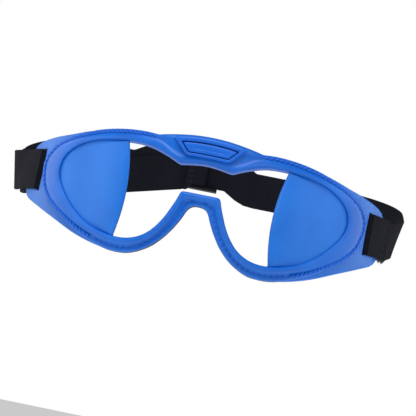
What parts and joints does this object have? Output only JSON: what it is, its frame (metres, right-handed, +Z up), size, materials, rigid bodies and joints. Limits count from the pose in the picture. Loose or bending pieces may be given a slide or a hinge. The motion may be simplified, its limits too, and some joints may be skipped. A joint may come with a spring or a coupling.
{
  "type": "sports protective goggles",
  "caption": "Wrap-round sports goggles with a padded frame, blinds over the outer halves of the eye openings and an elastic head strap with a slider.",
  "frame": {"origin": "on the mid-plane at eye height, where the foam pad meets the face", "axes": "+X to the right as seen from in front, +Y back through the head, +Z up"},
  "size_m": [0.2039, 0.1652, 0.077],
  "materials": {
    "blue_shell": "satin",
    "blue_base": "satin",
    "black_foam": "matte",
    "blue_panel": "satin",
    "blue_badge": "satin",
    "blue_thread": "matte",
    "black_webbing": "woven",
    "black_thread": "matte",
    "black_buckle": "matte"
  },
  "bodies": {
    "frame": {"front_shell": "blue_shell", "base_layer": "blue_base", "face_foam": "black_foam", "side_panel_left": "blue_panel", "side_panel_right": "blue_panel", "badge_surround": "blue_badge", "badge_plate": "blue_badge", "edge_stitching_left": "blue_thread", "edge_stitching_right": "blue_thread", "nose_stitching": "blue_thread", "strap_wrap_left": "black_webbing", "strap_wrap_right": "black_webbing", "end_stitching": "black_thread"},
    "strap": {"strap_band": "black_webbing", "strap_return": "black_webbing"},
    "slider_body": {"slider": "black_buckle", "slider_loop": "black_webbing", "loop_stitching": "black_thread"}
  },
  "joints": [
    {"name": "strap_swing", "type": "hinge", "parent": "frame", "child": "strap", "pos_m": [0, 0.05, 0.0052], "axis": [1, 0, 0], "range_deg": [-30, 20]},
    {"name": "slider_slide", "type": "slide", "parent": "strap", "child": "slider_body", "axis": [1, 0, 0], "range_m": [-0.013, 0.004], "deforming": ["strap_return"]}
  ]
}
